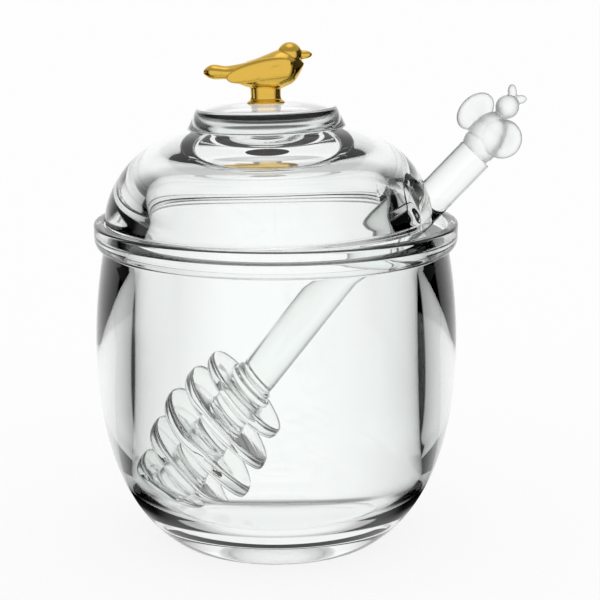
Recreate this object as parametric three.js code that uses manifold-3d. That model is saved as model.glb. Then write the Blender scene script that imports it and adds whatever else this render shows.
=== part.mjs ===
// Glass honey pot: a heavy pressed-glass jar, a domed lid with a gilt bird on its knob,
// and a glass dipper with a bee on its end, leaning out through a notch in the lid.
// Millimetres, +Z up. The origin is the centre of the jar's flat foot.

import * as THREE from 'three';
import { mergeVertices } from 'three/addons/utils/BufferGeometryUtils.js';
import Module from 'manifold-3d';

const wasm = await Module();
wasm.setup();

// Clearance between pieces that touch on the real pot
const GAP = 0.3;

// Jar: barrel outline is a superellipse below its widest level and a parabola above it
const BARREL_RADIUS = 50.2;
const BARREL_WIDEST_Z = 53.7;
const BARREL_DROP = 60.2;
const BARREL_RADIUS_POWER = 3.15;
const BARREL_HEIGHT_POWER = 2.15;
const NECK_RADIUS = 47.5;
const NECK_Z = 81.7;

// Jar rim: a beaded lip round a recess that the lid sits in
const BEAD_RADIUS = 50;
const BEAD_Z = 85.2;
const LIP_TOP_Z = 89.1;
const LIP_ROUND = 0.8;
const SEAT_RADIUS = 47.2;
const SEAT_Z = 85.2;
const SEAT_FILLET = 0.5;

// Jar inside: a slightly tapered well with a rounded floor corner
const WELL_TOP_RADIUS = 41.3;
const WELL_LOW_RADIUS = 39.5;
const WELL_EDGE = 0.8;
const FLOOR_Z = 8;
const FLOOR_FILLET = 16;

// Lid, measured from its own underside
const LID_RADIUS = 44.9;
const LID_INNER_RADIUS = 34.2;
const LID_EDGE = 0.8;
const DOME_FOOT_Z = 3.5;
const DOME_RISE = 24.9;
const DOME_RADIUS_POWER = 3.09;
const DOME_HEIGHT_POWER = 1.6;
const HOLLOW_TOP_Z = 17.6;
const HOLLOW_RADIUS_POWER = 4.6;
const HOLLOW_HEIGHT_POWER = 2.2;

// Knob: a solid truncated cone with a soft top edge and a flat spot for the bird
const KNOB_FOOT_RADIUS = 21.4;
const KNOB_FOOT_Z = 26.6;
const KNOB_TOP_RADIUS = 19.4;
const KNOB_TOP_Z = 33.2;
const KNOB_EDGE = 1.4;
const KNOB_CROWN = 0.8;
const KNOB_SPOT_RADIUS = 6;

// The lid lies tipped: the dipper's rod lifts its right side, and its left edge is caught
// against the inside of the lip, a little above the seat
const LID_SHIFT_X = -1.9;
const LID_LEFT_Z = 86.7;
const LID_TIP = THREE.MathUtils.degToRad(-1.3);

// Dipper, measured along its own axis from the centre of the rod where it leans on the seat's edge
const DIPPER_LEAN = THREE.MathUtils.degToRad(46.7);
const ROD_RADIUS = 5.05;
const ROD_END = 24.9;
const HEAD_FIRST_DISC = -68.3;
const DISC_PITCH = 7.4;
const DISC_RADII = [13.3, 15.2, 15.8, 14.6, 12.0];
const DISC_THICKNESS = 3.2;
const DISC_EDGE = 0.5;
const HEAD_CORE_RADIUS = 5.8;
const HEAD_TIP_LENGTH = 4;
const HEAD_TIP_RADIUS = 8.5;
const COLLAR_RADIUS = 6.6;
const COLLAR_LENGTH = 3.2;

// Notch in the lid: an arch that clears the rod
const NOTCH_HALF_WIDTH = 6.1;
const NOTCH_CLEARANCE = 0.45;
const NOTCH_LEG = 26;
const NOTCH_FROM = -32;
const NOTCH_LENGTH = 60;

// Bee at the end of the rod: its body leans a little steeper than the rod
const BEE_LEAN = THREE.MathUtils.degToRad(57);
const BEE_BODY_LENGTH = 16.5;
const BEE_BODY_RADIUS = 5.1;
const BEE_BODY_SINK = 3.6;
const BEE_HEAD_RADIUS = 3.2;
const BEE_HEAD_AT = 15.4;
const BEE_WING = [6.0, 1.2, 4.3];
const BEE_ROUND_WING = [5.4, 1.2, 5.4];
const BEE_WING_AT = 9.4;
const BEE_WING_OUT = 6.1;
const BEE_ROUND_WING_AT = 7.6;
const BEE_ROUND_WING_OUT = 3.0;
const BEE_WING_SETBACK = 1.9;
const BEE_ROUND_WING_FORWARD = 4.2;
const BEE_FEELER = [2.2, 0.9, 1.3];

// Bird, measured from the middle of its foot: length along X, beak towards +X
const BIRD_TAIL_X = -16.8;
const BIRD_BREAST_X = 10.9;
const BIRD_TAIL_Z = 8.6;
const BIRD_RUMP_Z = 7.9;
const BIRD_BREAST_Z = 10.3;
const BIRD_HALF_DEPTH = 4.6;
const BIRD_HALF_WIDTH = 5.2;
const BIRD_TAIL_HALF = 0.26;
const BIRD_HEAD_RADIUS = 3.3;
const BIRD_HEAD = [6.6, 0, 13.0];
const BIRD_BEAK_RADIUS = 1.1;
const BIRD_BEAK_LENGTH = 4.2;
const BIRD_STEM = [4.7, 3.2];
const BIRD_STEM_HEIGHT = 5.5;

// Facets: how many flat sides stand for each round
const ROUND_SIDES = 48;
const ROD_SIDES = 24;
const BALL_SIDES = 12;

const glass = new THREE.MeshStandardMaterial({ color: 0xeef2f1, roughness: 0.03, metalness: 0 });
const gilt = new THREE.MeshStandardMaterial({ color: 0xd9b040, roughness: 0.12, metalness: 1 });

// Helpers: points along a formula, and solids to join and cut

function along(steps, formula) {
  return Array.from({ length: steps + 1 }, (_, i) => new THREE.Vector2(...formula(i / steps)));
}

// Points on an ellipse from one angle to another, in degrees, given its centre and half axes
function arc(centre, halves, fromDeg, toDeg, steps) {
  return along(steps, (t) => {
    const a = THREE.MathUtils.degToRad(fromDeg + (toDeg - fromDeg) * t);
    return [centre[0] + halves[0] * Math.cos(a), centre[1] + halves[1] * Math.sin(a)];
  });
}

// A profile of (radius, height) turned round +Z: it starts and ends on the axis
function turned(profile, sides) {
  return new THREE.LatheGeometry(profile, sides).rotateX(Math.PI / 2);
}

function solidOf(geometry) {
  const bare = geometry.clone();
  bare.deleteAttribute('normal');
  bare.deleteAttribute('uv');
  const merged = mergeVertices(bare, 1e-4);
  const corners = merged.index.array;
  const kept = [];
  for (let i = 0; i < corners.length; i += 3) {
    const [a, b, c] = corners.slice(i, i + 3);
    if (a !== b && b !== c && c !== a) kept.push(a, b, c);
  }
  const vertProperties = new Float32Array(merged.attributes.position.array);
  const mesh = new wasm.Mesh({ numProp: 3, vertProperties, triVerts: new Uint32Array(kept) });
  mesh.merge();
  return new wasm.Manifold(mesh);
}

function geometryOf(solid) {
  const mesh = solid.getMesh();
  const geometry = new THREE.BufferGeometry();
  geometry.setAttribute('position', new THREE.BufferAttribute(mesh.vertProperties, 3));
  geometry.setIndex(new THREE.BufferAttribute(mesh.triVerts, 1));
  geometry.computeVertexNormals();
  return geometry;
}

function joined(geometries) {
  return geometries.map(solidOf).reduce((whole, next) => whole.add(next));
}

// A ball stretched to three half axes, turned in the XZ plane and moved to its place
function ball(halves, lean, place) {
  const geometry = new THREE.SphereGeometry(1, BALL_SIDES, BALL_SIDES / 2);
  geometry.scale(...halves);
  geometry.rotateY(-lean);
  return geometry.translate(...place);
}

// Jar

function barrelOutline() {
  const foot = Math.asin((BARREL_WIDEST_Z / BARREL_DROP) ** (BARREL_HEIGHT_POWER / 2));
  const below = along(10, (t) => {
    const a = foot * (1 - t);
    const r = BARREL_RADIUS * Math.cos(a) ** (2 / BARREL_RADIUS_POWER);
    return [r, BARREL_WIDEST_Z - BARREL_DROP * Math.sin(a) ** (2 / BARREL_HEIGHT_POWER)];
  });
  below[0].y = 0;
  const above = along(4, (t) => {
    const z = BARREL_WIDEST_Z + t * (NECK_Z - BARREL_WIDEST_Z);
    return [BARREL_RADIUS - (BARREL_RADIUS - NECK_RADIUS) * t * t, z];
  });
  return [...below, ...above.slice(1)];
}

function rimOutline() {
  const bulge = BEAD_RADIUS - NECK_RADIUS;
  const lip = [LIP_ROUND, LIP_ROUND];
  const lipZ = LIP_TOP_Z - LIP_ROUND;
  return [
    ...arc([NECK_RADIUS, BEAD_Z], [bulge, BEAD_Z - NECK_Z], -75, 0, 4),
    ...arc([BEAD_RADIUS - LIP_ROUND, lipZ], lip, 0, 90, 3),
    ...arc([SEAT_RADIUS + LIP_ROUND, lipZ], lip, 90, 180, 2),
    ...arc([SEAT_RADIUS - SEAT_FILLET, SEAT_Z + SEAT_FILLET], [SEAT_FILLET, SEAT_FILLET], 0, -90, 2),
  ];
}

function wellOutline() {
  const edge = [WELL_TOP_RADIUS + WELL_EDGE, SEAT_Z - WELL_EDGE];
  const corner = [WELL_LOW_RADIUS - FLOOR_FILLET, FLOOR_Z + FLOOR_FILLET];
  return [
    ...arc(edge, [WELL_EDGE, WELL_EDGE], 90, 180, 2),
    ...arc(corner, [FLOOR_FILLET, FLOOR_FILLET], 0, -90, 5),
    new THREE.Vector2(0, FLOOR_Z),
  ];
}

function jarGeometry() {
  const outline = [new THREE.Vector2(0, 0), ...barrelOutline(), ...rimOutline(), ...wellOutline()];
  return geometryOf(solidOf(turned(outline, ROUND_SIDES)));
}

// Dipper axis: the rod leans on the rounded inner edge of the seat, clear of it by two gaps

const axisWay = new THREE.Vector3(Math.cos(DIPPER_LEAN), 0, Math.sin(DIPPER_LEAN));
const axisUp = new THREE.Vector3(-Math.sin(DIPPER_LEAN), 0, Math.cos(DIPPER_LEAN));
const edgeCentre = new THREE.Vector3(WELL_TOP_RADIUS + WELL_EDGE, 0, SEAT_Z - WELL_EDGE);
const axisPoint = edgeCentre.clone().addScaledVector(axisUp, ROD_RADIUS + WELL_EDGE + 2 * GAP);

// Turns +Z onto the dipper's axis, with the origin where the rod leans on the edge
const dipperPlace = new THREE.Matrix4()
  .makeBasis(axisUp, new THREE.Vector3(0, -1, 0), axisWay)
  .setPosition(axisPoint);

// Lid

const lidPlace = new THREE.Matrix4()
  .makeRotationY(LID_TIP)
  .setPosition(LID_SHIFT_X, 0, LID_LEFT_Z - LID_RADIUS * Math.sin(LID_TIP));

// The dome's superellipse, from the lid's wall up to the knob's foot
function domeOutline() {
  const stop = Math.acos((KNOB_FOOT_RADIUS / LID_RADIUS) ** (DOME_RADIUS_POWER / 2));
  return along(8, (t) => {
    const a = stop * t;
    const r = LID_RADIUS * Math.cos(a) ** (2 / DOME_RADIUS_POWER);
    return [r, DOME_FOOT_Z + DOME_RISE * Math.sin(a) ** (2 / DOME_HEIGHT_POWER)];
  });
}

function knobOutline() {
  const edge = [KNOB_TOP_RADIUS - KNOB_EDGE, KNOB_TOP_Z - KNOB_CROWN - KNOB_EDGE];
  return [
    new THREE.Vector2(KNOB_FOOT_RADIUS, KNOB_FOOT_Z + 0.4),
    ...arc(edge, [KNOB_EDGE, KNOB_EDGE], 15, 90, 3),
    new THREE.Vector2(KNOB_SPOT_RADIUS, KNOB_TOP_Z),
    new THREE.Vector2(0, KNOB_TOP_Z),
  ];
}

function hollowOutline() {
  const foot = along(6, (t) => {
    const a = (1 - t) * Math.PI / 2;
    const r = LID_INNER_RADIUS * Math.cos(a) ** (2 / HOLLOW_RADIUS_POWER);
    const rise = (HOLLOW_TOP_Z - DOME_FOOT_Z) * Math.sin(a) ** (2 / HOLLOW_HEIGHT_POWER);
    return [r, DOME_FOOT_Z + rise];
  });
  foot[0].x = 0;
  return [
    ...foot,
    new THREE.Vector2(LID_INNER_RADIUS, LID_EDGE),
    new THREE.Vector2(LID_INNER_RADIUS + LID_EDGE, 0),
    new THREE.Vector2(LID_RADIUS - LID_EDGE, 0),
    new THREE.Vector2(LID_RADIUS, LID_EDGE),
  ];
}

// The notch's cutter: an arch over the rod with legs below it, drawn across the dipper's axis
function notchGeometry() {
  const arch = new THREE.Shape();
  arch.moveTo(-NOTCH_LEG, -NOTCH_HALF_WIDTH);
  arch.lineTo(0, -NOTCH_HALF_WIDTH);
  const top = ROD_RADIUS + NOTCH_CLEARANCE;
  arch.absellipse(0, 0, top, NOTCH_HALF_WIDTH, -Math.PI / 2, Math.PI / 2, false, 0);
  arch.lineTo(-NOTCH_LEG, NOTCH_HALF_WIDTH);
  arch.closePath();
  const cutter = new THREE.ExtrudeGeometry(arch, {
    depth: NOTCH_LENGTH,
    bevelEnabled: false,
    curveSegments: 8,
  });
  return cutter.translate(0, 0, NOTCH_FROM).applyMatrix4(dipperPlace);
}

function lidGeometry() {
  const outline = [...hollowOutline(), ...domeOutline(), ...knobOutline()];
  const blank = turned(outline, ROUND_SIDES);
  const cutter = notchGeometry().applyMatrix4(lidPlace.clone().invert());
  return geometryOf(solidOf(blank).subtract(solidOf(cutter)));
}

// Dipper

function discOutline(radius, at) {
  const half = DISC_THICKNESS / 2;
  return [
    new THREE.Vector2(HEAD_CORE_RADIUS, at - half),
    new THREE.Vector2(radius - DISC_EDGE, at - half * 0.85),
    new THREE.Vector2(radius, at),
    new THREE.Vector2(radius - DISC_EDGE, at + half * 0.85),
    new THREE.Vector2(HEAD_CORE_RADIUS, at + half),
  ];
}

function rodGeometry() {
  const places = DISC_RADII.map((_, i) => HEAD_FIRST_DISC - i * DISC_PITCH);
  const discs = DISC_RADII.map((radius, i) => discOutline(radius, places[i])).reverse().flat();
  const lastDisc = places[places.length - 1] - DISC_THICKNESS / 2;
  const collar = HEAD_FIRST_DISC + DISC_THICKNESS / 2 + COLLAR_LENGTH;
  const tip = arc([0, lastDisc], [HEAD_TIP_RADIUS, HEAD_TIP_LENGTH], -90, 0, 4);
  tip[0].x = 0;
  const outline = [
    ...tip,
    ...discs,
    new THREE.Vector2(COLLAR_RADIUS, collar - COLLAR_LENGTH / 2),
    new THREE.Vector2(ROD_RADIUS, collar),
    new THREE.Vector2(ROD_RADIUS, ROD_END),
    new THREE.Vector2(0, ROD_END),
  ];
  return turned(outline, ROD_SIDES).applyMatrix4(dipperPlace);
}

// The bee's body, head, wings and feelers, placed along its own axis from the rod's end
function beeGeometries() {
  const way = new THREE.Vector3(Math.cos(BEE_LEAN), 0, Math.sin(BEE_LEAN));
  const side = new THREE.Vector3(-Math.sin(BEE_LEAN), 0, Math.cos(BEE_LEAN));
  const end = axisPoint.clone().addScaledVector(axisWay, ROD_END);
  const at = (ahead, out, back) => {
    const place = end.clone().addScaledVector(way, ahead).addScaledVector(side, out);
    return [place.x, place.y + back, place.z];
  };
  const middle = BEE_BODY_LENGTH / 2 - BEE_BODY_SINK;
  const body = [BEE_BODY_LENGTH / 2, BEE_BODY_RADIUS * 0.9, BEE_BODY_RADIUS];
  const head = [BEE_HEAD_RADIUS, BEE_HEAD_RADIUS, BEE_HEAD_RADIUS];
  const feelerAt = BEE_HEAD_AT + BEE_HEAD_RADIUS + 0.6;
  return [
    ball(body, BEE_LEAN, at(middle, 0, 0)),
    ball(head, BEE_LEAN, at(BEE_HEAD_AT, 0, 0)),
    ball(BEE_WING, BEE_LEAN, at(BEE_WING_AT, BEE_WING_OUT, BEE_WING_SETBACK)),
    ball(BEE_ROUND_WING, BEE_LEAN, at(BEE_ROUND_WING_AT, -BEE_ROUND_WING_OUT, -BEE_ROUND_WING_FORWARD)),
    ball(BEE_FEELER, BEE_LEAN + 0.9, at(feelerAt, 1.6, 0)),
    ball(BEE_FEELER, BEE_LEAN - 0.9, at(feelerAt, -1.6, 0)),
  ];
}

function dipperGeometry() {
  return geometryOf(joined([rodGeometry(), ...beeGeometries()]));
}

// Bird: a ball drawn out into a body and tail, with head, beak and stem joined on

function birdBodyGeometry() {
  const geometry = new THREE.SphereGeometry(1, BALL_SIDES, 2 * BALL_SIDES).rotateZ(-Math.PI / 2);
  const place = geometry.attributes.position;
  for (let i = 0; i < place.count; i += 1) {
    const along01 = (place.getX(i) + 1) / 2;
    const plump = BIRD_TAIL_HALF + (1 - BIRD_TAIL_HALF) * THREE.MathUtils.smoothstep(along01, 0.15, 0.68);
    const spine = BIRD_TAIL_Z + (BIRD_RUMP_Z - BIRD_TAIL_Z) * Math.sin(Math.PI * along01)
      + (BIRD_BREAST_Z - BIRD_TAIL_Z) * along01 ** 2;
    const x = BIRD_TAIL_X + (BIRD_BREAST_X - BIRD_TAIL_X) * along01;
    const z = spine + place.getZ(i) * BIRD_HALF_DEPTH * plump;
    place.setXYZ(i, x, place.getY(i) * BIRD_HALF_WIDTH * plump, z);
  }
  return geometry;
}

function birdGeometry() {
  const head = ball([BIRD_HEAD_RADIUS, BIRD_HEAD_RADIUS, BIRD_HEAD_RADIUS], 0, BIRD_HEAD);
  const beakLength = BIRD_HEAD_RADIUS + BIRD_BEAK_LENGTH / 2;
  const beakAt = [BIRD_HEAD[0] + BIRD_HEAD_RADIUS / 2, 0, BIRD_HEAD[2]];
  const beak = ball([beakLength - BIRD_BEAK_RADIUS, BIRD_BEAK_RADIUS, BIRD_BEAK_RADIUS], 0, beakAt);
  const stem = new THREE.CylinderGeometry(0.86, 1, BIRD_STEM_HEIGHT, BALL_SIDES).rotateX(Math.PI / 2);
  stem.scale(BIRD_STEM[0], BIRD_STEM[1], 1).translate(0, 0, BIRD_STEM_HEIGHT / 2);
  return geometryOf(joined([birdBodyGeometry(), head, beak, stem]));
}

function named(name, geometry, material) {
  const mesh = new THREE.Mesh(geometry, material);
  mesh.name = name;
  return mesh;
}

const pot = new THREE.Group();
pot.add(named('jar', jarGeometry(), glass));
pot.add(named('dipper', dipperGeometry(), glass));

const lidAndBird = new THREE.Group();
lidAndBird.applyMatrix4(lidPlace);
lidAndBird.add(named('lid', lidGeometry(), glass));
const bird = named('bird', birdGeometry(), gilt);
bird.position.z = KNOB_TOP_Z + GAP;
lidAndBird.add(bird);
pot.add(lidAndBird);

export default pot;
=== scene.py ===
# %% [markdown]
# # A glass honey pot
#
# The pot is four pieces: a heavy pressed-glass jar, a domed lid, a gilt bird on the lid's knob,
# and a glass dipper that leans out through a notch in the lid.
# Glass shows whatever its walls bend the light towards, so the walls get their true thickness
# here and every surface is a smooth function of two parameters, worked out as whole arrays.

# %% Load the frame
import math

import bpy
import numpy as np
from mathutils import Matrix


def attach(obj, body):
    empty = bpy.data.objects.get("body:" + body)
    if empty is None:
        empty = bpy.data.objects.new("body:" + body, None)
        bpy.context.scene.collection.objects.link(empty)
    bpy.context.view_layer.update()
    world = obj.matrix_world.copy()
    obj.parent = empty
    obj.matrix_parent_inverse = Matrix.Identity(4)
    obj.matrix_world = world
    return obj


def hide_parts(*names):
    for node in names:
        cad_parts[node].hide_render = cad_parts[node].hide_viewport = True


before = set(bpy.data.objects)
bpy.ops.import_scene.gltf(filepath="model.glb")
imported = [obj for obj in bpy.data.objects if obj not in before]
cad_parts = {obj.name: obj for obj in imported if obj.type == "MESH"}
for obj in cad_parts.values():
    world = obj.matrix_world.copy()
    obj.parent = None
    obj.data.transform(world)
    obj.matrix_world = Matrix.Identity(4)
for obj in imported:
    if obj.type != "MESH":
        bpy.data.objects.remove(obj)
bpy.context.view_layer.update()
print("CAD nodes:", sorted(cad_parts))

# %% [markdown]
# ## From arrays to meshes
#
# All sizes below are millimetres, measured from the centre of the jar's foot with +Z up.
# A piece is a stack of rings, one array of (row, column, xyz). `skin` lays quads between the
# rings and closes both ends with a fan, so the mesh is one closed body with smooth shading.

# %% Rings to a closed mesh
MM = 0.001


def skin(name, rings):
    """Closed mesh over rings[row, column, xyz]; the first and last ring shrink to their mean point."""
    rows, columns = rings.shape[:2]
    first, last = rings[0].mean(axis=0), rings[-1].mean(axis=0)
    middle = rings[1:-1].reshape(-1, 3)
    points = np.vstack([first, middle, last])
    end = len(points) - 1
    across = np.arange(columns)
    beside = (across + 1) % columns
    start = 1 + columns * np.arange(rows - 3)[:, None]
    ahead = start + columns
    quads = np.stack([start + across, start + beside, ahead + beside, ahead + across], -1)
    top = 1 + columns * (rows - 3)
    fan_first = np.stack([np.zeros_like(across), 1 + beside, 1 + across], -1)
    fan_last = np.stack([top + across, top + beside, np.full_like(across, end)], -1)
    faces = quads.reshape(-1, 4).tolist() + fan_first.tolist() + fan_last.tolist()
    a, b, c = (points[quads.reshape(-1, 4)[:, k]] for k in (0, 1, 2))
    if np.einsum("ij,ij->", a, np.cross(b, c)) < 0:
        faces = [face[::-1] for face in faces]
    mesh = bpy.data.meshes.new(name)
    mesh.from_pydata((points * MM).tolist(), [], faces)
    mesh.shade_smooth()
    piece = bpy.data.objects.new(name, mesh)
    bpy.context.scene.collection.objects.link(piece)
    print(name, "faces:", len(mesh.polygons))
    return piece


# %% [markdown]
# ## Profiles that look fire polished
#
# Pressed glass is reheated until its edges flow, so no corner is sharp. `soften` takes an outline
# of straight stretches and arcs, averages it with a bell-shaped weight, which rounds every corner
# by about that width, and keeps more rows where the outline turns.

# %% Outlines and their softening
def arc(centre, halves, start, stop, steps=24):
    """Points on an ellipse: centre plus halves times (cos a, sin a), a from start to stop degrees."""
    a = np.radians(np.linspace(start, stop, steps))
    return np.stack([centre[0] + halves[0] * np.cos(a), centre[1] + halves[1] * np.sin(a)], -1)


def resample(path, places):
    """Points at the given distances along a polyline of any dimension."""
    gaps = np.linalg.norm(np.diff(path, axis=0), axis=1)
    length = np.concatenate([[0], np.cumsum(gaps)])
    return np.stack([np.interp(places * length[-1], length, path[:, k]) for k in range(path.shape[1])], -1)


def bell(path, reach, step):
    """Moving average of a path with Gaussian weights; the ends stay, as the path is mirrored there."""
    half = int(4 * reach / step)
    weights = np.exp(-0.5 * (np.arange(-half, half + 1) * step / reach) ** 2)
    weights /= weights.sum()
    before = 2 * path[0] - path[half:0:-1]
    after = 2 * path[-1] - path[-2 : -half - 2 : -1]
    longer = np.vstack([before, path, after])
    return np.stack([np.convolve(longer[:, k], weights, "valid") for k in range(path.shape[1])], -1)


def soften(outline, reach, rows, step=0.05, turn=6.0, stride=2.0):
    """Round an outline's corners; rows are spaced by length / stride mm plus turning / turn degrees."""
    outline = np.asarray(outline, float)
    total = np.linalg.norm(np.diff(outline, axis=0), axis=1).sum()
    fine = bell(resample(outline, np.linspace(0, 1, int(total / step))), reach, step)
    moves = np.diff(fine, axis=0)
    heading = np.unwrap(np.arctan2(moves[:, 1], moves[:, 0]))
    cost = np.linalg.norm(moves, axis=1) / stride
    cost[1:] += np.degrees(np.abs(np.diff(heading))) / turn
    place = np.concatenate([[0], np.cumsum(cost)])
    wanted = np.linspace(0, place[-1], rows)
    return np.stack([np.interp(wanted, place, fine[:, k]) for k in (0, 1)], -1)


def turned(profile, columns):
    """Surface of revolution: (r cos a, r sin a, z) for each profile point (r, z) and angle a."""
    a = np.linspace(0, 2 * np.pi, columns, endpoint=False)
    r, z = profile[:, 0, None], profile[:, 1, None]
    return np.stack([r * np.cos(a), r * np.sin(a), z + 0 * a], -1)


# %% [markdown]
# ## The jar
#
# The outside is a barrel that closes in to a small flat foot: a superellipse gives that full curve
# with four numbers. Under the lip is a crease, then a rounded bead, and inside the lip a recess where
# the lid sits. The well inside is nearly straight, so the wall is thick, and that thickness is what
# draws the dark upright lines near the jar's sides.

# %% Jar surface
BARREL_RADIUS, BARREL_WIDEST, BARREL_DROP = 50.2, 53.7, 60.2
BARREL_POWERS = 3.15, 2.15
NECK = np.array([47.5, 81.7])
BEAD_RADIUS, BEAD_Z = 50.0, 85.2
LIP_TOP = 89.1
SEAT_RADIUS, SEAT_Z, SEAT_FILLET = 47.2, 85.2, 0.5
WELL_TOP, WELL_LOW, WELL_EDGE = 41.3, 39.5, 0.8
FLOOR_Z, FLOOR_FILLET = 8.0, 16.0
LIP_ROUND = 0.8
JAR_SOFTNESS, JAR_ROWS, JAR_COLUMNS = 0.25, 230, 360


def barrel():
    """r = R cos(a)^(2/p), z = widest - drop sin(a)^(2/q), then a parabola from there to the neck."""
    p, q = BARREL_POWERS
    a = np.linspace(math.asin((BARREL_WIDEST / BARREL_DROP) ** (q / 2)), 0, 120)
    low_r = BARREL_RADIUS * np.cos(a) ** (2 / p)
    low_z = BARREL_WIDEST - BARREL_DROP * np.sin(a) ** (2 / q)
    t = np.linspace(0, 1, 40)[1:]
    high_r = BARREL_RADIUS - (BARREL_RADIUS - NECK[0]) * t**2
    high_z = BARREL_WIDEST + t * (NECK[1] - BARREL_WIDEST)
    return np.stack([np.append(low_r, high_r), np.append(low_z, high_z)], -1)


def jar_outline():
    """From the axis under the foot, over barrel, bead, lip, seat and well, to the axis on the floor."""
    bead = arc((NECK[0], BEAD_Z), (BEAD_RADIUS - NECK[0], BEAD_Z - NECK[1]), -80, 0)
    lip_out = arc((BEAD_RADIUS - LIP_ROUND, LIP_TOP - LIP_ROUND), (LIP_ROUND, LIP_ROUND), 0, 90)
    lip_in = arc((SEAT_RADIUS + LIP_ROUND, LIP_TOP - LIP_ROUND), (LIP_ROUND, LIP_ROUND), 90, 180)
    seat = arc((SEAT_RADIUS - SEAT_FILLET, SEAT_Z + SEAT_FILLET), (SEAT_FILLET, SEAT_FILLET), 0, -90)
    edge = arc((WELL_TOP + WELL_EDGE, SEAT_Z - WELL_EDGE), (WELL_EDGE, WELL_EDGE), 90, 180)
    floor = arc((WELL_LOW - FLOOR_FILLET, FLOOR_Z + FLOOR_FILLET), (FLOOR_FILLET, FLOOR_FILLET), 0, -90, 60)
    return np.vstack([[[0, 0]], barrel(), bead, lip_out, lip_in, seat, edge, floor, [[0, FLOOR_Z]]])


jar_profile = soften(jar_outline(), JAR_SOFTNESS, JAR_ROWS)
jar = skin("jar_glass", turned(jar_profile, JAR_COLUMNS))

# %% [markdown]
# ## Where the dipper and the lid lie
#
# The rod leans on the rounded inner edge of the seat. It lifts the lid's right side a little, while the
# lid's left edge is caught against the inside of the lip. Both places are those of the solid model.

# %% Placing frames
GAP = 0.3
ROD_RADIUS = 5.05
lean = math.radians(46.7)
axis_way = np.array([math.cos(lean), 0, math.sin(lean)])
axis_up = np.array([-math.sin(lean), 0, math.cos(lean)])
edge_centre = np.array([WELL_TOP + WELL_EDGE, 0, SEAT_Z - WELL_EDGE])
axis_point = edge_centre + (ROD_RADIUS + WELL_EDGE + 2 * GAP) * axis_up
nearer = np.array([0, -1, 0])
print("rod's axis over the edge:", np.round(axis_point, 2))

LID_RADIUS, LID_LEFT_Z = 44.9, 86.7
LID_TIP = math.radians(-1.3)
LID_SHIFT = np.array([-1.9, 0, LID_LEFT_Z - LID_RADIUS * math.sin(LID_TIP)])


def on_lid(points):
    """Turn lid points about Y by the tip angle and move them to the seat."""
    x, y, z = np.moveaxis(points, -1, 0)
    c, s = math.cos(LID_TIP), math.sin(LID_TIP)
    return np.stack([c * x + s * z, y, c * z - s * x], -1) + LID_SHIFT


def on_rod(points):
    """Points given as (up, nearer, along) the dipper's axis, from where the rod leans on the edge."""
    up, near, along = np.moveaxis(points[..., None], -2, 0)
    return axis_point + up * axis_up + along * axis_way + near * nearer


# %% [markdown]
# ## The lid
#
# A lathe alone can't make the notch, and a boolean cut would leave sharp, unevenly shaded edges.
# So the lid's lower edge is drawn as a path that runs round the base and climbs over the notch,
# and columns of the grid leave that path at right angles and bend up to meet even circles on the dome.
# The notch's walls join the outer edge path to the inner one, and small Bezier rows round both edges.

# %% Lid outlines
LID_INNER = 34.2
DOME_FOOT, DOME_RISE, DOME_POWERS = 3.5, 24.9, (3.09, 1.6)
HOLLOW_TOP, HOLLOW_POWERS = 17.7, (4.6, 2.2)
SWELL_DEPTH, SWELL_RADIUS = 1.0, 12.0
KNOB_FOOT, KNOB_FOOT_Z = 21.4, 27.0
KNOB_TOP, KNOB_TOP_Z, KNOB_EDGE, KNOB_CROWN = 19.4, 33.2, 1.4, 0.8
LID_SOFTNESS = 0.3


def dome_radius(z):
    """Outer radius at height z: R (1 - ((z - foot) / rise)^q)^(1/p), and R below the dome's foot."""
    p, q = DOME_POWERS
    rise = np.clip((z - DOME_FOOT) / DOME_RISE, 0, 1)
    return LID_RADIUS * (1 - rise**q) ** (1 / p)


def hollow_radius(z):
    """Inner radius at height z, a superellipse over a straight skirt."""
    p, q = HOLLOW_POWERS
    rise = np.clip((z - DOME_FOOT) / (HOLLOW_TOP - DOME_FOOT), 0, 1)
    return LID_INNER * (1 - rise**q) ** (1 / p)


def dome_and_knob(from_z, rows):
    """Profile from the knob's top centre down its side and the dome to height from_z."""
    p, q = DOME_POWERS
    a = np.linspace(math.acos((KNOB_FOOT / LID_RADIUS) ** (p / 2)), 0, 160)
    dome = np.stack([LID_RADIUS * np.cos(a) ** (2 / p), DOME_FOOT + DOME_RISE * np.sin(a) ** (2 / q)], -1)
    dome = dome[dome[:, 1] > from_z + LID_SOFTNESS]
    end = [[float(dome_radius(np.array(from_z))), from_z]]
    edge = arc((KNOB_TOP - KNOB_EDGE, KNOB_TOP_Z - KNOB_CROWN - KNOB_EDGE), (KNOB_EDGE, KNOB_EDGE), 90, 12)
    flat = np.linspace(0, KNOB_TOP - KNOB_EDGE, 40)
    crown = np.stack([flat, KNOB_TOP_Z - KNOB_CROWN * (flat / flat[-1]) ** 2], -1)
    return soften(np.vstack([crown, edge, [[KNOB_FOOT, KNOB_FOOT_Z]], dome, end]), LID_SOFTNESS, rows)


def hollow_top(from_z, rows):
    """Profile of the hollow from height from_z up to its roof, flat but for a swelling in the middle."""
    p, q = HOLLOW_POWERS
    start = math.asin(((from_z - DOME_FOOT) / (HOLLOW_TOP - DOME_FOOT)) ** (q / 2))
    a = np.linspace(start, np.pi / 2, rows)
    r = LID_INNER * np.cos(a) ** (2 / p)
    z = DOME_FOOT + (HOLLOW_TOP - DOME_FOOT) * np.sin(a) ** (2 / q)
    r[-1] = 0
    return np.stack([r, z - SWELL_DEPTH * np.exp(-((r / SWELL_RADIUS) ** 2))], -1)


# %% The lid's lower edge, round the base and over the notch
NOTCH_HALF, NOTCH_ARCH = 6.2, 6.3
NOTCH_OUT, NOTCH_IN = 12.2, 3.5
NOTCH_SOFTNESS, PATH_STEP = 0.9, 0.05
LID_COLUMNS = 384
CROWDING, CROWDING_REACH = 3.0, 14.0


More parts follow.
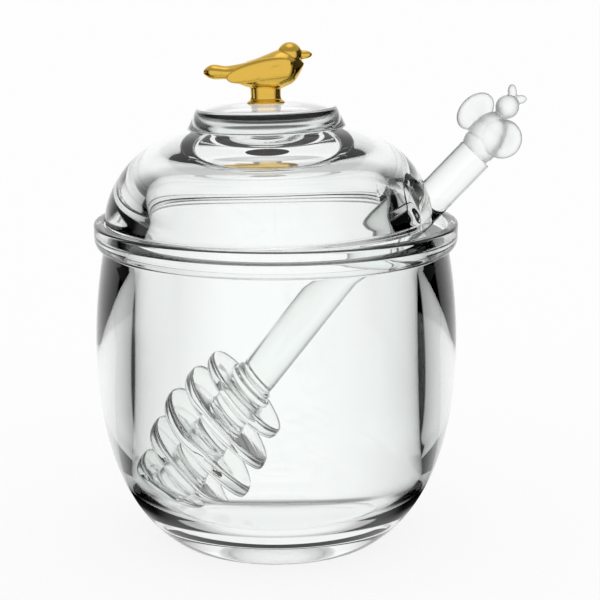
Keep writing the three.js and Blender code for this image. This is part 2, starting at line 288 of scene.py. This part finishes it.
def edge_path():
    """Path (arc length round the base, height) with the notch at its middle: points, headings, shares.

    Columns stand closer near the notch, by 1 + crowding times a bell. A share is the part of the
    path's length that lies before a column.
    """
    half = np.pi * LID_RADIUS
    legs = NOTCH_OUT - NOTCH_ARCH
    arch = arc((0, legs), (NOTCH_HALF, NOTCH_ARCH), 180, 0, 60)
    path = np.vstack([[[-half, 0], [-NOTCH_HALF, 0]], arch, [[NOTCH_HALF, 0], [half, 0]]])
    total = np.linalg.norm(np.diff(path, axis=0), axis=1).sum()
    even = resample(path, np.linspace(0, 1, int(total / PATH_STEP)))
    fine = bell(even, NOTCH_SOFTNESS, PATH_STEP)
    moves = np.gradient(fine, axis=0)
    heading = moves / np.linalg.norm(moves, axis=1, keepdims=True)
    near = np.exp(-0.5 * (fine[:, 0] / CROWDING_REACH) ** 2)
    place = np.cumsum((1 + CROWDING * near) * np.linalg.norm(moves, axis=1))
    place = (place - place[0]) / (place[-1] - place[0])
    wanted = np.linspace(0, 1, LID_COLUMNS, endpoint=False)
    pick = [np.interp(wanted, place, fine[:, 0]), np.interp(wanted, place, fine[:, 1])]
    head = [np.interp(wanted, place, heading[:, 0]), np.interp(wanted, place, heading[:, 1])]
    share = np.cumsum(np.linalg.norm(moves, axis=1))
    share = np.interp(wanted, place, (share - share[0]) / (share[-1] - share[0]))
    return np.stack(pick, -1), np.stack(head, -1), share


edge, heading, share = edge_path()
inward = np.stack([-heading[:, 1], heading[:, 0]], -1)
print("lid edge: columns", len(edge), "notch height", round(float(edge[:, 1].max()), 2))


# %% Columns that flow from the edge to even circles
def flow(start, way, top_arc, top_z, pull, rows):
    """Hermite curves in the unrolled wall, from the edge along its normal to the circle at top_z."""
    v = rows[:, None]
    h00, h10 = 2 * v**3 - 3 * v**2 + 1, v**3 - 2 * v**2 + v
    h01, h11 = -2 * v**3 + 3 * v**2, v**3 - v**2
    rise = top_z - start[:, 1]
    across = h00 * start[:, 0] + h10 * pull * way[:, 0] + h01 * top_arc
    up = h00 * start[:, 1] + h10 * pull * way[:, 1] + h01 * top_z + h11 * rise
    return across, up


def wall_points(across, up, radius_of, base_radius):
    """Roll the unrolled wall back up: angle = arc / base radius, radius from the height."""
    angle = across / base_radius
    r = radius_of(up)
    return np.stack([r * np.cos(angle), r * np.sin(angle), up], -1)


# %% The lid's inner edge
# The notch keeps its width through the wall, so its inner end spans a wider angle than its outer end.
# That widening fades out beside the notch.
FADE_REACH = 30.0
inner_edge = edge.copy()
angle_out = edge[:, 0] / LID_RADIUS
widen = NOTCH_HALF / LID_INNER - NOTCH_HALF / LID_RADIUS
in_notch = np.clip(np.abs(edge[:, 0]) / NOTCH_HALF, 0, 1)
fade = np.exp(-((np.maximum(np.abs(edge[:, 0]) - NOTCH_HALF, 0) / FADE_REACH) ** 2))
inner_edge[:, 0] = (angle_out + np.sign(edge[:, 0]) * widen * in_notch * fade) * LID_INNER
inner_edge[:, 1] = edge[:, 1] * NOTCH_IN / NOTCH_OUT
once_round = np.array([2 * np.pi * LID_INNER, 0])
looped = np.vstack([inner_edge[-1:] - once_round, inner_edge, inner_edge[:1] + once_round])
inner_moves = np.gradient(looped, axis=0)[1:-1]
inner_way = np.stack([-inner_moves[:, 1], inner_moves[:, 0]], -1)
inner_way /= np.linalg.norm(inner_way, axis=1, keepdims=True)

# %% The lid's two walls
OUTER_TOP, INNER_TOP = 21.0, 11.5
EDGE_ROUND, PULL = 0.8, 16.0
flow_rows = np.concatenate([[0, EDGE_ROUND / PULL], np.linspace(0.11, 1, 40)])
circle = (share - 0.5) * 2 * np.pi
outer_flow = flow(edge, inward, circle * LID_RADIUS, OUTER_TOP, PULL, flow_rows)
inner_flow = flow(inner_edge, inner_way, circle * LID_INNER, INNER_TOP, PULL, flow_rows)
outer = wall_points(*outer_flow, dome_radius, LID_RADIUS)
inner = wall_points(*inner_flow, hollow_radius, LID_INNER)
print("lid walls: rows and columns", outer.shape[:2], inner.shape[:2])


# %% Lid surface
def bezier(a, b, c, rows):
    """Quadratic Bezier rows from a to c with the corner b, without its two ends."""
    t = np.linspace(0, 1, rows + 2)[1:-1, None, None]
    return (1 - t) ** 2 * a + 2 * t * (1 - t) * b + t**2 * c


def between(a, b, rows):
    """Straight rows from a to b, both ends kept."""
    t = np.linspace(0, 1, rows)[:, None, None]
    return a + (b - a) * t


def circles(profile):
    """Rings of the profile at the columns' own angles."""
    r, z = profile[:, 0, None], profile[:, 1, None]
    return np.stack([r * np.cos(circle), r * np.sin(circle), z + 0 * circle], -1)


sill = outer[0] - inner[0]
sill_length = np.linalg.norm(sill, axis=-1, keepdims=True)
sill_out = outer[0] - sill / sill_length * EDGE_ROUND
sill_in = inner[0] + sill / sill_length * EDGE_ROUND
lid_rings = np.concatenate(
    [
        circles(dome_and_knob(OUTER_TOP, 90)),
        outer[:0:-1][1:],
        bezier(outer[1], outer[0], sill_out, 7),
        between(sill_out, sill_in, 10),
        bezier(sill_in, inner[0], inner[1], 7),
        inner[1:-1],
        circles(hollow_top(INNER_TOP, 60)),
    ]
)
lid = skin("lid_glass", on_lid(lid_rings))

# %% [markdown]
# ## The dipper
#
# Rod, collar, five discs and the rounded tip are one profile turned round the rod's own axis.
# The real one is shaped by hand at the flame, so each disc wavers a little: its radius and its
# place along the rod vary by a few tenths of a millimetre as a sum of slow waves.

# %% Dipper profile
ROD_END = 24.9
FIRST_DISC, DISC_PITCH = -68.3, 7.4
DISC_RADII = [13.3, 15.2, 15.8, 14.6, 12.0]
DISC_RIM, DISC_ROOT = 1.5, 1.6
RIM_BULGE, RIM_START = 0.6, 0.45
CORE_RADIUS, COLLAR_RADIUS = 5.4, 6.7
TIP_RADIUS, TIP_LENGTH = 8.5, 4.0


def disc_outline(r, at):
    """A coin: nearly flat faces from the core out to a gently bulging rim."""
    rim = arc((r - RIM_BULGE, at), (RIM_BULGE, DISC_RIM), -62, 62)
    foot, head = [[CORE_RADIUS, at - DISC_ROOT]], [[CORE_RADIUS, at + DISC_ROOT]]
    low, high = [[r - RIM_START, at - DISC_RIM]], [[r - RIM_START, at + DISC_RIM]]
    return np.vstack([foot, low, rim, high, head])


def dipper_outline():
    """(radius, place along the axis) from the tip, over the discs and collar, to the rod's end."""
    places = [FIRST_DISC - DISC_PITCH * i for i in range(len(DISC_RADII))]
    discs = np.vstack([disc_outline(r, at) for r, at in zip(DISC_RADII[::-1], places[::-1])])
    tip = arc((0, places[-1] - DISC_ROOT), (TIP_RADIUS, TIP_LENGTH), -90, -10, 30)
    collar = FIRST_DISC + DISC_ROOT + 0.6
    rings = [[COLLAR_RADIUS, collar], [COLLAR_RADIUS, collar + 1.2], [ROD_RADIUS + 0.5, collar + 1.6]]
    rings += [[ROD_RADIUS + 0.7, collar + 2.6], [ROD_RADIUS, collar + 3.2]]
    return np.vstack([tip, discs, rings, [[ROD_RADIUS, ROD_END], [0, ROD_END]]])


def dipper_surface(columns=144, rows=400):
    """Turn the profile; r and z get slow waves in angle that grow with the radius outside the rod."""
    profile = soften(dipper_outline(), 0.16, rows)
    a = np.linspace(0, 2 * np.pi, columns, endpoint=False)
    r, z = profile[:, 0, None], profile[:, 1, None]
    turn = z / DISC_PITCH * 2.1
    outside = np.clip((r - ROD_RADIUS) / 10, 0, 1)
    r = r + outside * (0.15 * np.sin(2 * a + turn) + 0.08 * np.sin(3 * a - 2 * turn))
    z = z + outside * (0.2 * np.sin(a + 1.7 * turn) + 0.12 * np.sin(2 * a - turn))
    return np.stack([r * np.cos(a), r * np.sin(a), z], -1)


rod = skin("dipper_glass", on_rod(dipper_surface()))

# %% [markdown]
# ## The bee
#
# The bee is pressed on to the rod's end: a barrel body with ring grooves, a ball head, two dished
# wings and two petal feelers. Each is a stretched ball with its own formula. A fine voxel remesh
# melts them into one skin, and a boolean joins that to the rod, so no glass surface is left inside.

# %% Bee parts
bee_lean = math.radians(57)
bee_way = np.array([math.cos(bee_lean), 0, math.sin(bee_lean)])
bee_side = np.array([-math.sin(bee_lean), 0, math.cos(bee_lean)])
rod_end = axis_point + ROD_END * axis_way
WING_DISH = 0.6


def ball(halves, turn_deg, place, bulge=None, dish=0.0, rows=40, columns=64):
    """Stretched ball, halves times the unit sphere, its near and far sides dished by (1 - dish near^4).

    A bulge function swells it along its length. It is turned in the bee's own plane, and place is
    (ahead, aside, nearer) in mm from the rod's end.
    """
    lat = np.linspace(-np.pi / 2, np.pi / 2, rows)[:, None]
    lon = np.linspace(0, 2 * np.pi, columns, endpoint=False)
    ahead = np.sin(lat) + 0 * lon
    swell = 1 if bulge is None else bulge(ahead)
    out, near = np.cos(lat) * np.cos(lon) * swell, np.cos(lat) * np.sin(lon) * swell
    near = near * (1 - dish * near**4)
    p, q, n = ahead * halves[0], out * halves[1], near * halves[2]
    c, s = math.cos(math.radians(turn_deg)), math.sin(math.radians(turn_deg))
    p, q = c * p - s * q + place[0], s * p + c * q + place[1]
    n = n + place[2]
    return rod_end + p[..., None] * bee_way + q[..., None] * bee_side + n[..., None] * nearer


def ringed(ahead):
    """Body swell: four shallow grooves round the rear two thirds."""
    return 1 - 0.055 * np.clip(np.cos(ahead * 13.5 + 0.6) - 0.55, 0, 1) / 0.45 * (ahead < 0.45)


bee_parts = [
    skin("bee_body", ball((8.6, 5.1, 4.7), 0, (4.4, 0.2, 0.0), ringed, rows=140)),
    skin("bee_head", ball((3.2, 3.2, 3.2), 0, (15.3, 0, 0.2))),
    skin("bee_wing_left", ball((5.9, 4.2, 1.5), -12, (9.6, 6.3, -1.9), dish=WING_DISH)),
    skin("bee_wing_right", ball((5.4, 5.4, 1.6), 0, (7.5, -3.1, 4.2), dish=WING_DISH)),
    skin("bee_feeler_left", ball((2.1, 1.25, 0.8), 38, (19.4, 1.2, 0.2))),
    skin("bee_feeler_right", ball((2.1, 1.25, 0.8), -48, (18.7, -1.6, 0.2))),
]


# %% Melt the bee and join it to the rod
def baked(piece):
    """Replace a piece's mesh by what its modifiers make of it."""
    depsgraph = bpy.context.evaluated_depsgraph_get()
    mesh = bpy.data.meshes.new_from_object(piece.evaluated_get(depsgraph))
    piece.modifiers.clear()
    piece.data = mesh
    mesh.shade_smooth()
    return piece


def melted(name, parts, voxel, passes):
    """Join parts, remesh them at a voxel size in mm as one skin, and relax it."""
    with bpy.context.temp_override(active_object=parts[0], selected_editable_objects=parts):
        bpy.ops.object.join()
    piece = parts[0]
    piece.name = name
    remesh = piece.modifiers.new("melt", "REMESH")
    remesh.mode, remesh.voxel_size = "VOXEL", voxel * MM
    relax = piece.modifiers.new("relax", "SMOOTH")
    relax.factor, relax.iterations = 0.5, passes
    return baked(piece)


bee = melted("bee", bee_parts, voxel=0.2, passes=6)
union = rod.modifiers.new("join", "BOOLEAN")
union.operation, union.solver, union.object = "UNION", "EXACT", bee
baked(rod)
bpy.data.objects.remove(bee)
print("dipper faces:", len(rod.data.polygons))

# %% [markdown]
# ## The bird
#
# A small cast bird stands on the knob. Its body is a loft: rings round a spine that rises from the
# tail to the breast. Head, beak and wings are stretched balls, and the oval foot is a turned profile.
# All are melted and smoothed, because a polished casting has no sharp inner corners. The foot sinks
# a little into the knob's glass, as one that is cemented on sits in its bed.

# %% Bird parts
BIRD_SINK = 0.25
BIRD_FOOT = np.array([0, 0, KNOB_TOP_Z - BIRD_SINK])
TAIL_X, BREAST_X = -16.8, 10.6
STEM_PROFILE = [[0, 0], [4.1, 0], [4.1, 0.5], [3.3, 1.2], [3.2, 1.7], [3.3, 5.5], [0, 5.5]]
STEM_SOFTNESS, STEM_STRETCH = 0.2, [1.28, 1.0, 1]


def loft(spine, halves, columns=64):
    """Rings across X: at each (x, z) of the spine an ellipse with half width and half depth."""
    a = np.linspace(0, 2 * np.pi, columns, endpoint=False)
    x, z = spine[:, 0, None], spine[:, 1, None]
    y, lift = halves[:, 0, None] * np.cos(a), halves[:, 1, None] * np.sin(a)
    return np.stack([x + 0 * a, y, z + lift], -1) + BIRD_FOOT


def curve(knots, count):
    """Smooth values through knots (place, value): cubic Hermite with finite-difference slopes."""
    knots = np.asarray(knots, float)
    x, y = knots[:, 0], knots[:, 1]
    slope = np.gradient(y, x)
    at = np.linspace(x[0], x[-1], count)
    i = np.clip(np.searchsorted(x, at, "right") - 1, 0, len(x) - 2)
    h = x[i + 1] - x[i]
    t = (at - x[i]) / h
    return (
        (2 * t**3 - 3 * t**2 + 1) * y[i]
        + (t**3 - 2 * t**2 + t) * h * slope[i]
        + (3 * t**2 - 2 * t**3) * y[i + 1]
        + (t**3 - t**2) * h * slope[i + 1]
    )


def bird_body(rows=120):
    """Back and belly lines against x give the spine and half depth; the width has its own line."""
    x = np.linspace(TAIL_X, BREAST_X, rows)
    back = [(TAIL_X, 9.2), (-16.0, 10.0), (-10, 10.4), (-4.3, 11.5)]
    back += [(0, 13.1), (4, 14.4), (7.5, 14.0), (BREAST_X, 10.6)]
    belly = [(TAIL_X, 8.4), (-16.0, 7.7), (-10, 6.6), (-5, 4.6)]
    belly += [(0, 3.6), (5, 4.3), (9.0, 7.2), (BREAST_X, 10.4)]
    width = [(TAIL_X, 0.8), (-15.5, 1.8), (-10, 2.3), (-5, 4.0)]
    width += [(0, 5.2), (4, 5.2), (8.0, 3.7), (BREAST_X, 0.2)]
    back, belly, width = (curve(knots, rows) for knots in (back, belly, width))
    return loft(np.stack([x, (back + belly) / 2], -1), np.stack([width, (back - belly) / 2], -1))


def bird_ball(halves, place, turn_deg=0.0, rows=40, columns=64):
    """Stretched ball turned about Y, at a place measured from the bird's foot."""
    lat = np.linspace(-np.pi / 2, np.pi / 2, rows)[:, None]
    lon = np.linspace(0, 2 * np.pi, columns, endpoint=False)
    x = np.sin(lat) * halves[0] + 0 * lon
    y, z = np.cos(lat) * np.cos(lon) * halves[1], np.cos(lat) * np.sin(lon) * halves[2]
    c, s = math.cos(math.radians(turn_deg)), math.sin(math.radians(turn_deg))
    return np.stack([c * x - s * z + place[0], y + place[1], s * x + c * z + place[2]], -1) + BIRD_FOOT


def bird_stem():
    """Oval foot: a flared profile, turned and then stretched along X."""
    profile = soften(STEM_PROFILE, STEM_SOFTNESS, 60)
    return turned(profile, 64) * STEM_STRETCH + BIRD_FOOT


bird_parts = [
    skin("bird_body", on_lid(bird_body())),
    skin("bird_head", on_lid(bird_ball((3.35, 3.2, 3.3), (6.7, 0, 13.1)))),
    skin("bird_beak", on_lid(bird_ball((2.7, 1.2, 1.2), (10.1, 0, 12.9)))),
    skin("bird_stem", on_lid(bird_stem())),
    skin("bird_wing_left", on_lid(bird_ball((9.0, 0.8, 2.8), (-1.6, 4.35, 9.3), 14))),
    skin("bird_wing_right", on_lid(bird_ball((9.0, 0.8, 2.8), (-1.6, -4.35, 9.3), 14))),
]
bird = melted("bird_casting", bird_parts, voxel=0.16, passes=8)
print("bird faces:", len(bird.data.polygons))

# %% [markdown]
# ## Materials
#
# Clear soda-lime glass has an IOR near 1.52 and almost no colour. Pressing and fire polishing leave
# a skin that is smooth but not optically flat, so a faint bump of slow waves bends reflections a little.
# The bee comes from a small mould, whose surface leaves the glass lightly frosted, so its shapes show
# by soft shading instead of by bent light.
# The bird is cast metal under polished gold plate: a mirror with a warm colour and a few soft dents.
# The faces under its foot are dark and matt. They are hidden from outside, but the eye meets them through
# the knob.


# %% Node helper and colours
def linear(hex_colour):
    """sRGB hex to linear RGBA."""
    srgb = np.array([int(hex_colour[i : i + 2], 16) for i in (1, 3, 5)]) / 255
    rgb = np.where(srgb <= 0.04045, srgb / 12.92, ((srgb + 0.055) / 1.055) ** 2.4)
    return (*rgb, 1.0)


def add(tree, kind, settings=None, **links):
    """Add a node, set its properties and named inputs, and link inputs given as sockets."""
    node = tree.nodes.new(kind)
    for key, value in (settings or {}).items():
        if key in node.inputs:
            node.inputs[key].default_value = value
        else:
            setattr(node, key, value)
    for key, socket in links.items():
        tree.links.new(socket, node.inputs[key.replace("_", " ")])
    return node


def fresh(name):
    """An empty node material and its output node."""
    material = bpy.data.materials.new(name)
    material.use_nodes = True
    material.node_tree.nodes.clear()
    return material, add(material.node_tree, "ShaderNodeOutputMaterial")


# %% Soda-lime glass
def soda_lime_glass(name, wave_mm, depth_mm, roughness=0.0):
    """Clear glass whose skin has slow waves of the given length and depth, and is frosted if rough."""
    material, out = fresh(name)
    tree = material.node_tree
    place = add(tree, "ShaderNodeTexCoord").outputs["Object"]
    waves = add(tree, "ShaderNodeTexNoise", {"Scale": 1 / (wave_mm * MM), "Detail": 1.0}, Vector=place)
    depth = {"Strength": 1.0, "Distance": depth_mm * MM}
    bump = add(tree, "ShaderNodeBump", depth, Height=waves.outputs["Fac"])
    settings = {
        "Base Color": linear("#FBFDFC"),
        "Roughness": roughness,
        "IOR": 1.52,
        "Transmission Weight": 1.0,
    }
    glass = add(tree, "ShaderNodeBsdfPrincipled", settings, Normal=bump.outputs["Normal"])
    tree.links.new(glass.outputs["BSDF"], out.inputs["Surface"])
    return material


pressed_glass = soda_lime_glass("pressed soda-lime glass", wave_mm=22, depth_mm=0.03)
flame_glass = soda_lime_glass("flame-worked soda-lime glass", wave_mm=7, depth_mm=0.05)
moulded_glass = soda_lime_glass("moulded soda-lime glass", wave_mm=3, depth_mm=0.06, roughness=0.45)


# %% Polished gold plate
DENT_MM, DENT_DEPTH_MM, SMEAR_MM = 3.5, 0.06, 1.2


def gold_plate():
    """Warm mirror; roughness and bump from slow noise, as on a hand-polished casting."""
    material, out = fresh("polished gold plate")
    tree = material.node_tree
    place = add(tree, "ShaderNodeTexCoord").outputs["Object"]
    dents = add(tree, "ShaderNodeTexNoise", {"Scale": 1 / (DENT_MM * MM), "Detail": 2.0}, Vector=place)
    smears = add(tree, "ShaderNodeTexNoise", {"Scale": 1 / (SMEAR_MM * MM), "Detail": 3.0}, Vector=place)
    rough = add(tree, "ShaderNodeMapRange", {"To Min": 0.08, "To Max": 0.2}, Value=smears.outputs["Fac"])
    depth = {"Strength": 1.0, "Distance": DENT_DEPTH_MM * MM}
    bump = add(tree, "ShaderNodeBump", depth, Height=dents.outputs["Fac"])
    settings = {"Base Color": linear("#F0C456"), "Metallic": 1.0}
    links = {"Roughness": rough.outputs["Result"], "Normal": bump.outputs["Normal"]}
    metal = add(tree, "ShaderNodeBsdfPrincipled", settings, **links)
    tree.links.new(metal.outputs["BSDF"], out.inputs["Surface"])
    return material


# %% Dark underside of the foot
def dark_underside():
    """Dark matt faces under the bird's foot, seen from below through the knob."""
    material, out = fresh("dark underside")
    settings = {"Base Color": linear("#3A342C"), "Roughness": 0.8}
    underside_bsdf = add(material.node_tree, "ShaderNodeBsdfPrincipled", settings)
    material.node_tree.links.new(underside_bsdf.outputs["BSDF"], out.inputs["Surface"])
    return material


# %% Finishes on the pieces
finishes = [(jar, pressed_glass), (lid, pressed_glass), (rod, flame_glass), (bird, gold_plate())]
for piece, material in finishes:
    piece.data.materials.clear()
    piece.data.materials.append(material)
    print(piece.name, "is", material.name)


# %% A second finish on some faces
def of_faces(piece, kind):
    """One xyz row for each face: its "center" or its "normal"."""
    values = np.empty(len(piece.data.polygons) * 3)
    piece.data.polygons.foreach_get(kind, values)
    return values.reshape(-1, 3)


def finish_faces(piece, material, chosen):
    """Give the chosen faces a second material."""
    piece.data.materials.append(material)
    piece.data.polygons.foreach_set("material_index", chosen.astype(np.int32))
    print(material.name, "faces:", int(chosen.sum()))


# %% Frosted bee and dark underside of the foot
BEE_START = 0.5
FACING_DOWN, UNDERSIDE_HEIGHT = -0.5, 0.5
past_end = (of_faces(rod, "center") / MM - rod_end) @ axis_way
finish_faces(rod, moulded_glass, past_end > BEE_START)

# Faces that face down at the bird's foot get a dark matt finish.
foot_z = on_lid(BIRD_FOOT)[2] * MM
beneath = of_faces(bird, "normal")[:, 2] < FACING_DOWN
at_foot = of_faces(bird, "center")[:, 2] < foot_z + UNDERSIDE_HEIGHT * MM
finish_faces(bird, dark_underside(), beneath & at_foot)

# %% [markdown]
# ## Riding on the frame
#
# Each piece stands for its solid and rides on the one body.

# %% Ride and replace
for piece, node_name, slot in [
    (jar, "jar", "clear_glass"),
    (lid, "lid", "clear_glass"),
    (rod, "dipper", "clear_glass"),
    (bird, "bird", "gilt_metal"),
]:
    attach(piece, "root")
    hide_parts(node_name)
    print(piece.name, "stands for", node_name)

# %% [markdown]
# ## Stage, light and camera
#
# Glass is photographed in bright field: a lit backdrop stands behind it, a soft box hangs above, and the
# room is dark at the sides, out of the picture. The walls near the outline bend the eye's line towards
# the sides and turn dark, which draws the shape. A tent of glowing sheets stands for that room. Its
# brightness is a smooth formula, because a card with a hard edge would show as a hard shape in the glass.
# The heavy foot keeps some light off the table behind its middle, so the table is darker there.
# The camera and matt surfaces don't see the tent: they see the white table and a white sky.


# %% Glowing sheets
def glow_material():
    """Emission whose strength is the sheet's own "glow" attribute."""
    material, out = fresh("lit cloth")
    tree = material.node_tree
    glow = add(tree, "ShaderNodeAttribute", {"attribute_name": "glow"})
    cloth = add(tree, "ShaderNodeEmission", {}, Strength=glow.outputs["Fac"])
    tree.links.new(cloth.outputs["Emission"], out.inputs["Surface"])
    return material


def glow_sheet(name, points, glow, material):
    """Open sheet over points[row, column, xyz] that glows by glow[row, column], hidden from the camera."""
    rows, columns = glow.shape
    corner = np.arange(rows - 1)[:, None] * columns + np.arange(columns - 1)
    faces = np.stack([corner, corner + 1, corner + columns + 1, corner + columns], -1).reshape(-1, 4)
    mesh = bpy.data.meshes.new(name)
    mesh.from_pydata((points.reshape(-1, 3) * MM).tolist(), [], faces.tolist())
    mesh.attributes.new("glow", "FLOAT", "POINT").data.foreach_set("value", glow.ravel().astype(np.float32))
    mesh.materials.append(material)
    sheet = bpy.data.objects.new(name, mesh)
    bpy.context.scene.collection.objects.link(sheet)
    sheet.visible_camera = False
    sheet.visible_diffuse = False
    sheet.visible_shadow = False
    print(name, "glow from", round(float(glow.min()), 2), "to", round(float(glow.max()), 2))
    return sheet


def step(x, low, high):
    """Smooth step from 0 at low to 1 at high."""
    t = np.clip((x - low) / (high - low), 0, 1)
    return t * t * (3 - 2 * t)


# %% Directions in the tent
# Directions turn from +X, the dipper's side, over +Y, behind the pot. The window is at the left.
TENT_RADIUS = 1500.0
BACK_DEG, WINDOW_DEG, WINDOW_HALF_DEG = 93, 180, 11
FRONT_GLOW, WINDOW_GLOW = 0.85, 0.7
turn_deg = np.linspace(0, 360, 361)
from_back = np.abs((turn_deg - BACK_DEG + 180) % 360 - 180)
side_window = np.exp(-(((turn_deg - WINDOW_DEG) / WINDOW_HALF_DEG) ** 4))
front = FRONT_GLOW * step(from_back, 105, 135)


def falloff(width, power):
    """1 behind the pot, falling off sideways: 1 / (1 + (angle / width)^power)."""
    return 1 / (1 + (from_back / width) ** power)


# %% Brightness of the wall
# Low down it is bright behind the pot and in front, and dark at the sides but for the window.
# Higher up it is grey cloth, which brightens again towards the soft box overhead.
rise_deg = np.linspace(0, 90, 61)[:, None]
low_wall = np.maximum(0.03 + 0.97 * falloff(37, 6), front)
low_wall = np.maximum(low_wall + 0 * rise_deg, WINDOW_GLOW * side_window * step(rise_deg, 16, 10))
high_wall = 0.42 + 0.25 * falloff(50, 4) + 0.6 * step(rise_deg, 62, 80)
wall_glow = low_wall + (high_wall - low_wall) * step(rise_deg, 24, 36)

# %% Brightness of the table
# Under the foot it is bright but for a painted shadow of the foot, a darker patch behind the middle.
# Outside the foot it fades from the back to the sides, a little sooner far away, and ends there in a soft
# edge.
UNDER_GLOW, FOOT_SHADOW_DARK = 0.95, 0.8
LIT_GLOW, LIT_WIDTH_DEG = 1.04, 79
reach = np.concatenate([np.linspace(0, 120, 25), np.geomspace(126, TENT_RADIUS, 40)])[:, None]
across, behind = reach * np.cos(np.radians(turn_deg)), reach * np.sin(np.radians(turn_deg))
# Painted shadow: the table glows less in a patch behind the pot's middle, as if the foot shaded it.
foot_shadow = step(behind, 16, 24) * step(behind, 44, 39) * step(np.abs(across), 36, 26)
under = UNDER_GLOW - FOOT_SHADOW_DARK * foot_shadow
aside = from_back * (1 + 0.14 * step(reach, 260, 450))
lit = LIT_GLOW * (1 - (np.minimum(aside, 70) / LIT_WIDTH_DEG) ** 3) * step(aside, 69, 67)
table = np.maximum(lit, front)
table = np.maximum(table, WINDOW_GLOW * side_window * step(reach, 350, 600))
table_glow = under + (table - under) * step(reach, 36, 46)

# %% Floor, tent and sky
TENT_FLOOR_Z, FLOOR_SURFACE_Z = -0.1, -0.3
FLOOR_RADIUS, FLOOR_SIDES, FLOOR_GLOW = 6000, 96, 0.85
a, e = np.radians(turn_deg), np.radians(rise_deg)
dome = np.stack([np.cos(e) * np.cos(a), np.cos(e) * np.sin(a), np.sin(e) + 0 * a], -1) * TENT_RADIUS
ground = np.stack([across, behind, 0 * across + TENT_FLOOR_Z], -1)
cloth = glow_material()
glow_sheet("tent_wall", dome, wall_glow, cloth)
glow_sheet("tent_table", ground, table_glow, cloth)


def floor_disc(radius):
    """A round floor just under the foot."""
    a = np.linspace(0, 2 * np.pi, FLOOR_SIDES, endpoint=False)
    ring = np.stack([radius * np.cos(a), radius * np.sin(a), 0 * a + FLOOR_SURFACE_Z], -1) * MM
    mesh = bpy.data.meshes.new("floor")
    mesh.from_pydata(ring.tolist(), [], [list(range(FLOOR_SIDES))])
    floor = bpy.data.objects.new("floor", mesh)
    bpy.context.scene.collection.objects.link(floor)
    return floor


def pale_floor():
    """Matt white table, mostly glowing so that it stays near white round the glass."""
    material, out = fresh("pale table")
    tree = material.node_tree
    matt = add(tree, "ShaderNodeBsdfDiffuse", {"Color": linear("#F4F4F4")})
    glow = add(tree, "ShaderNodeEmission", {"Color": linear("#FFFFFF"), "Strength": 1.0})
    mix = add(tree, "ShaderNodeMixShader", {"Fac": FLOOR_GLOW})
    tree.links.new(matt.outputs["BSDF"], mix.inputs[1])
    tree.links.new(glow.outputs["Emission"], mix.inputs[2])
    tree.links.new(mix.outputs["Shader"], out.inputs["Surface"])
    return material


floor = floor_disc(FLOOR_RADIUS)
floor.data.materials.append(pale_floor())

world = bpy.data.worlds.new("studio")
bpy.context.scene.world = world
world.use_nodes = True
sky = world.node_tree.nodes["Background"]
sky.inputs["Color"].default_value = linear("#FFFFFF")
sky.inputs["Strength"].default_value = 1.0

# %% Camera
# It looks along +Y with a downward tilt. A step to the right puts the pot's axis left of the middle.
CAMERA_DISTANCE, CAMERA_HEIGHT, AIM_Z = 415.0, 158.7, 66.04
FOCAL_PX, FRAME_PX, AXIS_PX = 1522.7, 600.0, 276.5
SENSOR = 36.0
side_step = (FRAME_PX / 2 - AXIS_PX) / FOCAL_PX * math.hypot(CAMERA_DISTANCE, CAMERA_HEIGHT - AIM_Z)

camera_data = bpy.data.cameras.new("camera")
camera_data.sensor_width = SENSOR
camera_data.lens = SENSOR * FOCAL_PX / FRAME_PX
camera_data.clip_start, camera_data.clip_end = 0.01, 50
camera = bpy.data.objects.new("camera", camera_data)
bpy.context.scene.collection.objects.link(camera)
camera.location = np.array([side_step, -CAMERA_DISTANCE, CAMERA_HEIGHT]) * MM
tilt = math.atan2(CAMERA_HEIGHT - AIM_Z, CAMERA_DISTANCE)
camera.rotation_euler = (math.pi / 2 - tilt, 0, 0)
bpy.context.scene.camera = camera
bpy.context.scene.view_settings.view_transform = "Standard"
print("lens", round(camera_data.lens, 1), "mm, tilted down", round(math.degrees(tilt), 1), "degrees")
